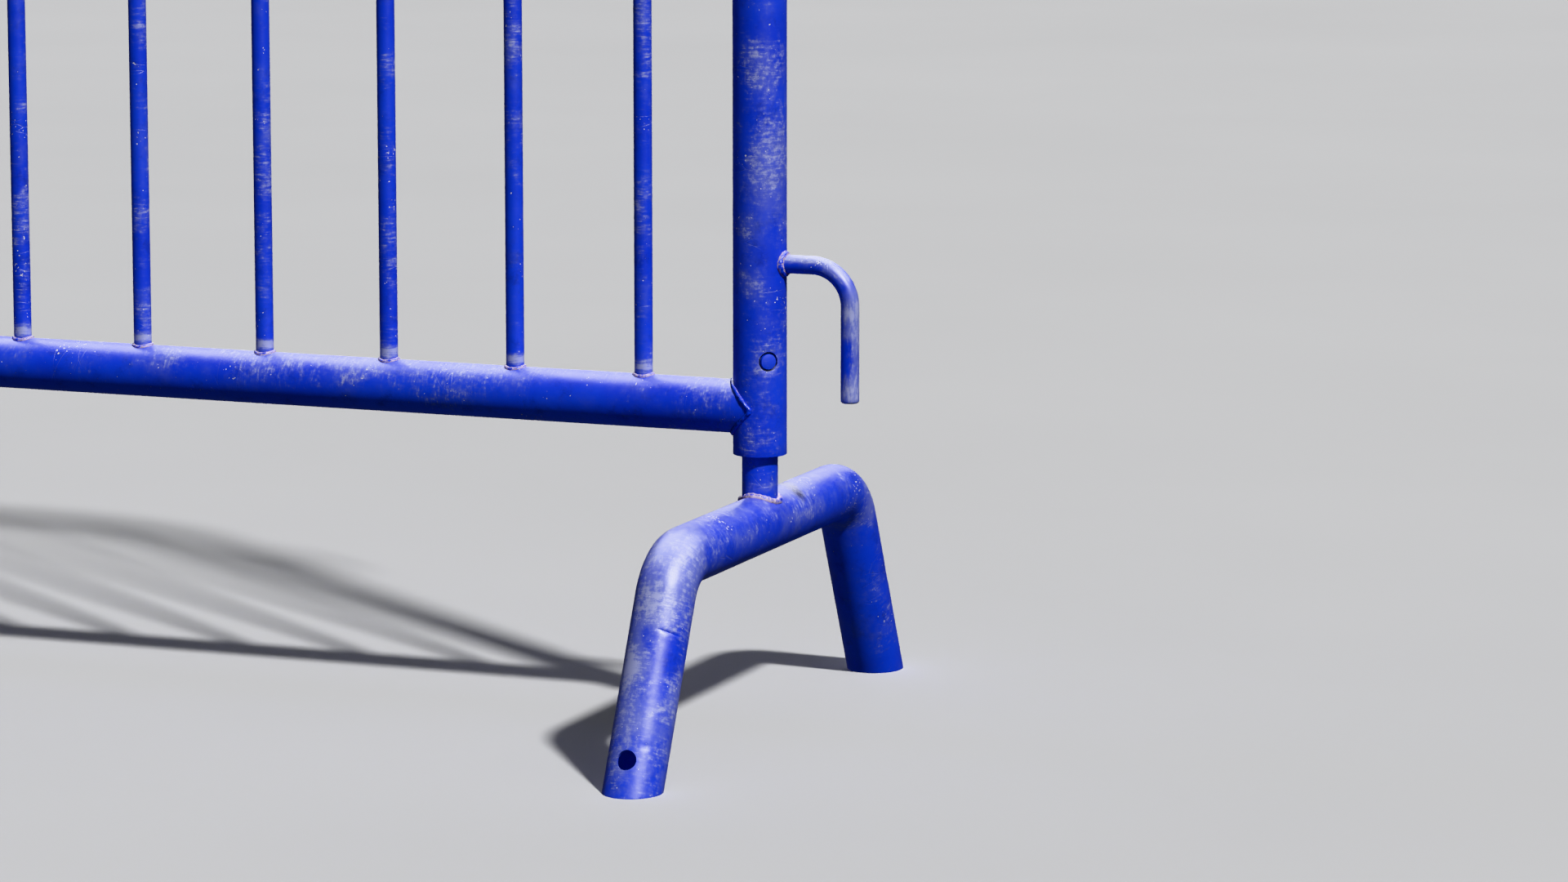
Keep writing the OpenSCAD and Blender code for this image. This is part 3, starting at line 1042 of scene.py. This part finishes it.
class BARRIER_OT_sleeves(bpy.types.Operator):
    """Turn the socket sleeves and drill them for the buttons"""

    bl_idname = "barrier.sleeves"
    bl_label = "Socket sleeves"

    def execute(self, context):
        s = sizes()
        outer = s.tube_diameter / 2 - s.tube_wall
        slide_gap, lip_reach, lip_height = 0.0003, 0.0027, 0.006
        lead_in, button_gap = 0.0006, 0.0005
        bore = s.spigot_diameter / 2 + slide_gap
        lip = s.spigot_diameter / 2 - lip_reach
        for side, end in ENDS:
            node = end + "_socket_sleeve"
            low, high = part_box(node)
            profile = [
                (bore + lead_in, low.z), (outer, low.z), (outer, high.z), (lip, high.z),
                (lip, high.z - lip_height), (bore, high.z - lip_height), (bore, low.z + lead_in),
            ]
            sleeve = lathe(node + "_skin", profile, s.round_sides, hollow=True)
            sleeve.location = (post_axis(side), 0, 0)
            set_down(sleeve)
            carve(sleeve, drill(button_axis(side), button_direction(), s.button_diameter / 2 + button_gap))
            smooth(sleeve)
            finish_piece(sleeve, "frame", "socket_steel", node)
        return {"FINISHED"}


def leg_direction(front):
    """Down the leg, on the front or the back of the foot."""
    splay = sizes().leg_splay
    return Vector((0, (-1 if front else 1) * math.sin(splay), -math.cos(splay)))


def leg_face(front):
    """Straight out of the leg's outer face."""
    down = leg_direction(front)
    return Vector((0, down.z if front else -down.z, abs(down.y)))


def foot_corner():
    """Half the distance between the corners where the foot's straight axes meet."""
    s = sizes()
    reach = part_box("right_foot_tube")[1].y
    axis_reach = reach - s.foot_diameter / 2 / math.cos(s.leg_splay)
    return axis_reach - foot_axis_height() * math.tan(s.leg_splay)


class BARRIER_OT_feet(bpy.types.Operator):
    """Bend the feet, cut their legs flush with the ground, drill them and stand the spigots on them"""

    bl_idname = "barrier.feet"
    bl_label = "Feet and spigots"

    def execute(self, context):
        s = sizes()
        r = s.foot_diameter / 2
        z = foot_axis_height()
        corner = foot_corner()
        post = post_axis(RIGHT)
        legs = z / math.cos(s.leg_splay) + 0.03
        front = Vector((post, -corner, z))
        back = Vector((post, corner, z))
        ends = front + leg_direction(True) * legs, back + leg_direction(False) * legs
        line = Centreline([ends[0], front, back, ends[1]], s.foot_bend_radius, X)
        foot = bend_tube("right_foot_tube_skin", line, r, s.round_sides, FOOT_STEP)
        leave()
        take(foot)
        edit()
        face_outwards()
        leave()
        self.dents(foot, post, r, z, front, back)
        thicken(foot, s.foot_wall)
        cutters = [block_cutter((post - 0.06, -0.4, -0.2), (post + 0.06, 0.4, 0))]
        for forward in (True, False):
            start = front if forward else back
            run = (z - s.leg_hole_height + r * math.sin(s.leg_splay)) / math.cos(s.leg_splay)
            axis = start + leg_direction(forward) * run
            cutters.append(drill(axis, leg_face(forward), s.leg_hole / 2))
        carve(foot, *cutters)
        clear_slivers(foot)
        soften_edges(foot, lambda co: co.z < END_BAND, 0.0003)
        smooth(foot)
        left_foot = twin(foot, "left_foot_tube_skin")
        for piece, side, end, shift in ((foot, RIGHT, "right", 0.0), (left_foot, LEFT, "left", 2.3)):
            mark_unbent(piece, line, (0.2 + shift, 0.5, 1.7 + shift))
            mark_wear_and_painted_light(piece, self.rubs(post, front, back, r, z, mirrored=side == LEFT))
            if side == LEFT:
                piece.location = (post_axis(LEFT) - post, 0, 0)
                set_down(piece)
            finish_piece(piece, end + "_foot", "foot_paint", end + "_foot_tube")
        self.spigots(r, z)
        return {"FINISHED"}

    def dents(self, foot, post, r, z, front, back):
        """A crease across the front leg, a knock by its hole, and shallow dents on top and behind."""
        down, face = leg_direction(True), leg_face(True)
        crease_way = 0.0535
        across = math.radians(42)
        way = face * math.cos(across) + X * math.sin(across)
        middle = front + down * crease_way + way * r
        along = (down - way.cross(down) * 0.12).normalized()
        score_rings(foot, middle, along, 0.0007)
        for half, depth in ((22, 0.00025), (17, 0.00025), (10, 0.00015)):
            crease = []
            for turn in range(-half, half + 1, 2):
                angle = across + math.radians(turn)
                side = face * math.cos(angle) + X * math.sin(angle)
                near = front + down * crease_way + side * r
                crease.append(near - down * ((near - middle).dot(along) / down.dot(along)))
            press_dent(foot, crease, tuple(way * -depth), 0.0016, "SHARP")
        turn = math.radians(34)
        way = face * math.cos(turn) + X * math.sin(turn)
        press_dent(foot, [front + down * 0.134 + way * r], tuple(way * -0.0007), 0.0034)
        press_dent(foot, [(post + 0.010, -0.060, z + r - 0.003)], (-0.0002, 0, -0.0005), 0.018)
        press_dent(foot, [back + leg_direction(False) * 0.08 + X * r], (-0.0006, 0, 0), 0.016)

    def rubs(self, post, front, back, r, z, mirrored):
        """Where the paint of a foot is rubbed."""
        down, far_down = leg_direction(True), leg_direction(False)
        face, far_face = leg_face(True), leg_face(False)
        x = X * (-1 if mirrored else 1)
        bend = front + Vector((0, -0.006, 0.008))
        far_bend = back + Vector((0, 0.006, 0.008))
        return [
            (bend, (0.026, 0.030, 0.022), 1.2),
            (front + down * 0.075 + face * r - x * 0.016, (0.014, 0.03, 0.060), 1.2),
            (front + down * 0.125 + face * r, (0.024, 0.03, 0.040), 0.7),
            (bend + x * 0.016, (0.012, 0.03, 0.022), 0.8),
            (far_bend, (0.022, 0.022, 0.018), 1.0),
            (far_bend + x * 0.014 - Z * 0.018, (0.012, 0.02, 0.022), 0.8),
            (front + down * 0.034 + face * r, (0.020, 0.02, 0.014), 1.9),
            (front + down * 0.040 + x * r * 0.9, (0.010, 0.02, 0.022), 0.7),
            (front + down * 0.080 + face * r - x * 0.010, (0.012, 0.02, 0.013), 1.7),
            (front + down * 0.100 + x * r, (0.008, 0.02, 0.020), 0.9),
            (front + down * 0.150 + x * r * 0.8, (0.010, 0.03, 0.030), 0.5),
            (back + far_down * 0.05 + far_face * r, (0.016, 0.02, 0.020), 0.8),
            (Vector((post, -0.060, z + r)), (0.016, 0.05, 0.010), 0.75),
            (Vector((post, 0.070, z + r)), (0.016, 0.04, 0.010), 0.75),
            (Vector((post, -0.045, z + 0.006)) + x * r, (0.008, 0.05, 0.010), 0.5),
            (Vector((post, 0.050, z + 0.004)) + x * r, (0.008, 0.05, 0.010), 0.6),
        ]

    def spigots(self, foot_r, foot_z):
        s = sizes()
        r = s.spigot_diameter / 2
        lap, button_gap = 0.004, 0.00035
        for side, end in ENDS:
            node = end + "_foot_spigot"
            post = post_axis(side)
            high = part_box(node)[1].z
            line = Centreline([(post, 0, foot_z + foot_r - lap), (post, 0, high)], 0, Y)
            spigot = bend_tube(node + "_skin", line, r, s.round_sides, SPIGOT_STEP)
            leave()
            thicken(spigot, s.spigot_wall)
            carve(
                spigot,
                cope_cutter((post, 0, foot_z), Y, foot_r),
                drill(button_axis(side), button_direction(), s.button_diameter / 2 + button_gap),
            )
            soften_edges(spigot, lambda co: co.z > high - END_BAND, 0.0005)
            smooth(spigot)
            mark_unbent(spigot, line, (2.1, 1.2, 0.4 + side))
            mark_wear_and_painted_light(spigot, [
                ((post, 0, foot_z + foot_r + 0.006), (0.03, 0.03, 0.004), 0.5),
                ((post, 0, high), (0.03, 0.03, 0.016), 0.9),
                ((post + 0.008, -0.012, 0.262), (0.02, 0.02, 0.03), 0.7),
            ])
            finish_piece(spigot, end + "_foot", "foot_paint", node)


class BARRIER_OT_buttons(bpy.types.Operator):
    """Turn the snap buttons and fold their leaf springs"""

    bl_idname = "barrier.buttons"
    bl_label = "Snap buttons"

    def execute(self, context):
        s = sizes()
        r = s.button_diameter / 2
        leaf_half, leaf_thick = 0.0045, 0.0008
        leaf_face = math.sqrt((s.spigot_diameter / 2 - s.spigot_wall - 0.00025) ** 2 - leaf_half ** 2)
        crown = s.tube_diameter / 2 + 0.0005
        dome, root = 0.024, 0.0032
        profile = [(r * 0.86, leaf_face), (r, leaf_face + 0.0006), (r, crown - self.drop(r, dome) - 0.0004)]
        for share in (0.965, 0.88, 0.72, 0.5, 0.25, 0.05):
            profile.append((r * share, crown - self.drop(r * share, dome)))
        for side, end in ENDS:
            turn = Matrix.Rotation(s.button_azimuth - math.pi / 2, 4, "Z")
            axis, out = button_axis(side), button_direction()
            place = Matrix.Translation(axis) @ turn
            button = lathe(end + "_snap_button_skin", profile, 48)
            button.matrix_world = place @ Euler((0, math.pi / 2, 0)).to_matrix().to_4x4()
            set_down(button)
            smooth(button, 50)
            mark_unbent(button, None, (0.3, 0.7, side))
            mark_wear_and_painted_light(button, [], 0.25)
            finish_piece(button, end + "_button", "button_paint", end + "_snap_button")
            spring = self.leaf(end, leaf_face - leaf_thick / 2, leaf_half, leaf_thick)
            spring.matrix_world = place
            set_down(spring)
            smooth(spring)
            spring.data.materials.append(finish_of("spring_steel"))
            start, stop = axis + out * root, axis + out * leaf_face
            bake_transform(spring, end + "_foot", end + "_button", start=start, end=stop)
            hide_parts(end + "_button_spring")
        return {"FINISHED"}

    @staticmethod
    def drop(r, dome):
        return dome - math.sqrt(dome * dome - r * r)

    @staticmethod
    def leaf(end, x, half, thick):
        """A V of flat strip: a pad behind the button, a slope up to the fold, and the same down again."""
        pad, fold, rise, steps = 0.011, 0.003, 0.057, 12
        clear_selection()
        bpy.ops.mesh.primitive_plane_add(size=1, location=(x, 0, 0), rotation=(0, math.pi / 2, 0))
        strip = bpy.context.object
        strip.name = strip.data.name = end + "_button_spring_skin"
        strip.scale = (2 * pad, 2 * half, 1)
        bpy.ops.object.transform_apply(location=True, rotation=True, scale=True)
        edit()
        bpy.ops.mesh.select_all(action="DESELECT")
        mesh = bmesh.from_edit_mesh(strip.data)
        for e in mesh.edges:
            e.select = all(v.co.z > pad * 0.99 for v in e.verts)
        mesh.select_flush_mode()
        bmesh.update_edit_mesh(strip.data)
        slope = Vector((fold - x, 0, rise - pad))
        draw_out(slope / steps, steps)
        bpy.ops.mesh.spin(steps=8, angle=math.pi, center=(0, 0, rise), axis=(0, 1, 0))
        draw_out(Vector((fold - x, 0, pad - rise)) / steps, steps)
        draw_out((0, 0, -2 * pad))
        face_outwards()
        leave()
        coat = strip.modifiers.new("strip", "SOLIDIFY")
        coat.thickness = thick
        coat.offset = 0
        bpy.ops.object.modifier_apply(modifier=coat.name)
        return strip


def bead_ring(name, pipe_r, base_r, leg, stations, sides, seed, flare=1.0, uneven=0.05):
    """A weld bead round a pipe on +Z that stands on a tube along X, laid station by station."""
    clear_selection()
    draw = random.Random(seed)
    centre_r = pipe_r + leg * 0.02
    bpy.ops.mesh.primitive_torus_add(
        major_segments=stations, minor_segments=sides, major_radius=centre_r, minor_radius=leg * 0.72
    )
    bead = bpy.context.object
    bead.name = bead.data.name = name
    edit("VERT")
    mesh = bmesh.from_edit_mesh(bead.data)
    lump = 1.0
    for k in range(stations):
        ring = [v for v in mesh.verts if v.index // sides == k]
        middle = sum((v.co for v in ring), Vector()) / len(ring)
        bpy.ops.mesh.select_all(action="DESELECT")
        for v in ring:
            v.select = True
        mesh.select_flush(True)
        lift = math.sqrt(base_r ** 2 - min(middle.y ** 2, base_r ** 2 * 0.999)) + leg * 0.02
        lump += draw.uniform(-uneven, uneven) + (1 - lump) * 0.3
        ripple = 0.05 * math.cos(2 * math.pi * k / 4)
        grow = (lump + ripple) * flare
        bpy.ops.transform.resize(value=(grow, grow, grow), center_override=middle)
        bpy.ops.transform.translate(value=(0, 0, lift))
    leave()
    return bead


def mark_toes(bead, pipe_r, base_r, leg, floor_level, crevice_shade=False):
    """Marks the edges of a bead as worn, or the edge on the pipe darkened with painted crevice shade."""
    places = places_of(bead)
    toe = 0.35 * leg
    on_pipe = np.clip(1 - (np.hypot(places[:, 0], places[:, 1]) - pipe_r) / toe, 0, 1)
    on_base = np.clip(1 - (np.hypot(places[:, 1], places[:, 2]) - base_r) / toe, 0, 1)
    worn = on_base - on_pipe if crevice_shade else np.maximum(on_pipe, on_base)
    point_values(bead, "wear_and_painted_light", "FLOAT").foreach_set("value", (worn + floor_level).astype(np.float32))


class BARRIER_OT_welds(bpy.types.Operator):
    """Lay the weld beads where the rail, the bars, the hooks, the loops and the spigots are joined"""

    bl_idname = "barrier.welds"
    bl_label = "Weld beads"

    def execute(self, context):
        s = sizes()
        tube_r = s.tube_diameter / 2
        self.bars(s, tube_r)
        self.rail(s, tube_r)
        self.hooks(s, tube_r)
        self.spigots(s)
        self.loops()
        return {"FINISHED"}

    @staticmethod
    def place(bead, matrix):
        bead.matrix_world = matrix
        set_down(bead)

    @staticmethod
    def join_beads(beads, node):
        """One piece of the frame out of several beads."""
        piece = weld_together(beads, node + "_skin")
        smooth(piece, 80)
        finish_piece(piece, "frame", "weld_paint", node)

    def bars(self, s, tube_r):
        r = s.bar_diameter / 2
        rows = (("bar_welds_bottom", rail_height(), 0), ("bar_welds_top", top_height(), math.pi))
        for node, z, turn in rows:
            model = bead_ring("bar_bead", r, tube_r, s.bar_bead, stations=48, sides=10, seed=3)
            mark_toes(model, r, tube_r, s.bar_bead, 0.25)
            self.place(model, Matrix.Rotation(turn, 4, "X"))
            beads = []
            for i, name in enumerate(bar_names()):
                spun = Matrix.Rotation(math.pi * (i % 2), 4, "Z")
                beads.append(twin(model, node + "_part", (bar_x(name), 0, z), spun))
            bpy.data.objects.remove(model, do_unlink=True)
            self.join_beads(beads, node)

    def rail(self, s, tube_r):
        beads = []
        for side, _ in ENDS:
            bead = bead_ring(
                "rail_bead", tube_r, tube_r, s.rail_bead, stations=120, sides=12, seed=7 + side
            )
            # The rail beads' toe on the rail is darkened with painted shade.
            mark_toes(bead, tube_r, tube_r, s.rail_bead, -0.35, crevice_shade=True)
            turn = Matrix.Rotation(-side * math.pi / 2, 4, "Y")
            self.place(bead, Matrix.Translation((post_axis(side), 0, rail_height())) @ turn)
            beads.append(bead)
        self.join_beads(beads, "rail_welds")

    def hooks(self, s, tube_r):
        r = s.rod_diameter / 2
        beads = []
        for i, name in enumerate(("lower_hook", "upper_hook")):
            bead = bead_ring(
                "hook_bead", r, tube_r, s.rod_bead, stations=56, sides=14, seed=21 + i, flare=1.1
            )
            mark_toes(bead, r, tube_r, s.rod_bead, 0.12)
            turn = Matrix.Rotation(math.pi / 2, 4, "Y")
            self.place(bead, Matrix.Translation((post_axis(RIGHT), 0, arm_height(name))) @ turn)
            beads.append(bead)
        self.join_beads(beads, "hook_welds")

    def spigots(self, s):
        r = s.spigot_diameter / 2
        foot_r = s.foot_diameter / 2
        for side, end in ENDS:
            node = end + "_foot_weld"
            bead = bead_ring(
                node + "_skin", r, foot_r, s.spigot_bead,
                stations=80, sides=14, seed=31 + side, flare=0.88, uneven=0.11,
            )
            mark_toes(bead, r, foot_r, s.spigot_bead, 0.36)
            turn = Matrix.Rotation(math.pi / 2, 4, "Z")
            self.place(bead, Matrix.Translation((post_axis(side), 0, foot_axis_height())) @ turn)
            smooth(bead, 80)
            finish_piece(bead, end + "_foot", "weld_paint", node)

    def loops(self):
        """The loops' beads run out along the post's sides, so they are the CAD beads rounded over."""
        clear_selection()
        source = frame["nodes"]["loop_welds"]
        piece = bpy.data.objects.new("loop_welds_skin", source.data.copy())
        bpy.context.scene.collection.objects.link(piece)
        take(piece)
        edit()
        bpy.ops.mesh.select_all(action="SELECT")
        bpy.ops.mesh.remove_doubles(threshold=1e-6)
        leave()
        melt = piece.modifiers.new("melt", "REMESH")
        melt.mode = "VOXEL"
        melt.voxel_size = 0.0005
        bpy.ops.object.modifier_apply(modifier=melt.name)
        even = piece.modifiers.new("even", "SMOOTH")
        even.factor = 0.6
        even.iterations = 5
        bpy.ops.object.modifier_apply(modifier=even.name)
        smooth(piece, 80)
        mark_wear_and_painted_light(piece, [], 0.35)
        finish_piece(piece, "frame", "weld_paint", "loop_welds")


# ---------- floor, light and camera ----------

class BARRIER_OT_stage(bpy.types.Operator):
    """Lay the pale floor, hang the lights and set up the camera"""

    bl_idname = "barrier.stage"
    bl_label = "Floor, lights and camera"

    def execute(self, context):
        self.floor()
        self.lights()
        self.camera()
        context.scene.view_settings.view_transform = "Khronos PBR Neutral"
        return {"FINISHED"}

    def floor(self):
        clear_selection()
        bpy.ops.mesh.primitive_circle_add(vertices=96, radius=60, fill_type="NGON", location=(0, 0, 0))
        floor = bpy.context.object
        floor.name = floor.data.name = "studio_floor"
        floor.data.materials.append(floor_finish("studio_floor"))
        floor.visible_diffuse = False
        floor.visible_glossy = False

    def lights(self):
        world = bpy.data.worlds.new("studio")
        bpy.context.scene.world = world
        world.use_nodes = True
        glow = world.node_tree.nodes["Background"]
        glow.inputs["Color"].default_value = (0.80, 0.82, 0.86, 1)
        glow.inputs["Strength"].default_value = 0.13
        aim = Vector((1.1, 0, 0.2))
        distance = 4
        key_way = (0.543, -0.393, 0.742)
        sun = self.light("key", "SUN", (3, -2, 4), key_way)
        sun.energy = 3.8
        sun.angle = math.radians(4)
        fill = self.light("back_fill", "SUN", (-3, 3, 2), (-0.45, 0.84, 0.30))
        fill.energy = 0.6
        fill.use_shadow = False
        bpy.data.objects["back_fill"].visible_glossy = False
        self.sheen("key_sheen", aim + Vector(key_way) * distance, key_way, 1.4, 1.4, 260)
        self.sheen("top_sheen", (0.6, 1.6, 4.0), (0, 0.37, 0.93), 7, 3.6, 1000)
        back_way = (-0.30, 0.89, 0.35)
        self.sheen("back_sheen", aim + Vector(back_way) * distance, back_way, 2.4, 1.6, 45)

    def sheen(self, name, place, towards, width, height, power):
        """A softbox that shows only in the gloss of the paint."""
        box = self.light(name, "AREA", place, towards)
        box.shape = "RECTANGLE"
        box.size, box.size_y = width, height
        box.energy = power
        bpy.data.objects[name].visible_diffuse = False

    @staticmethod
    def light(name, kind, place, towards):
        data = bpy.data.lights.new(name, kind)
        lamp = bpy.data.objects.new(name, data)
        bpy.context.scene.collection.objects.link(lamp)
        lamp.location = place
        lamp.rotation_euler = Vector(towards).to_track_quat("Z", "Y").to_euler()
        lamp.visible_camera = False
        return data

    def camera(self):
        data = bpy.data.cameras.new("camera")
        camera = bpy.data.objects.new("camera", data)
        bpy.context.scene.collection.objects.link(camera)
        data.lens = 135
        data.sensor_width = 36
        data.clip_start, data.clip_end = 0.05, 200
        camera.location = (post_axis(RIGHT) + 1.5268, -3.8078, 0.8619)
        camera.rotation_euler = (math.radians(80.916), 0, math.radians(21.612))
        bpy.context.scene.camera = camera


class BARRIER_PT_panel(bpy.types.Panel):
    """Lists the pieces in the order that they are made"""

    bl_label = "Crowd control barrier"
    bl_idname = "BARRIER_PT_panel"
    bl_space_type = "VIEW_3D"
    bl_region_type = "UI"
    bl_category = "Barrier"

    def draw(self, context):
        for step in STEPS:
            self.layout.operator(step.bl_idname)
        for group in (context.scene.barrier_sizes, context.scene.barrier_colours):
            for key in group.__annotations__:
                self.layout.prop(group, key)


STEPS = (
    BARRIER_OT_stage, BARRIER_OT_frame_tube, BARRIER_OT_rail, BARRIER_OT_bars, BARRIER_OT_hooks,
    BARRIER_OT_loops, BARRIER_OT_sleeves, BARRIER_OT_feet, BARRIER_OT_buttons, BARRIER_OT_welds,
)
GROUPS = (BarrierSizes, BarrierColours)


def register():
    for each in (*GROUPS, *STEPS, BARRIER_PT_panel):
        bpy.utils.register_class(each)
    bpy.types.Scene.barrier_sizes = PointerProperty(type=BarrierSizes)
    bpy.types.Scene.barrier_colours = PointerProperty(type=BarrierColours)


def unregister():
    del bpy.types.Scene.barrier_colours
    del bpy.types.Scene.barrier_sizes
    for each in (BARRIER_PT_panel, *reversed(STEPS), *reversed(GROUPS)):
        bpy.utils.unregister_class(each)


def main():
    register()
    for step in STEPS:
        family, name = step.bl_idname.split(".")
        getattr(getattr(bpy.ops, family), name)()


if __name__ == "__main__":
    main()
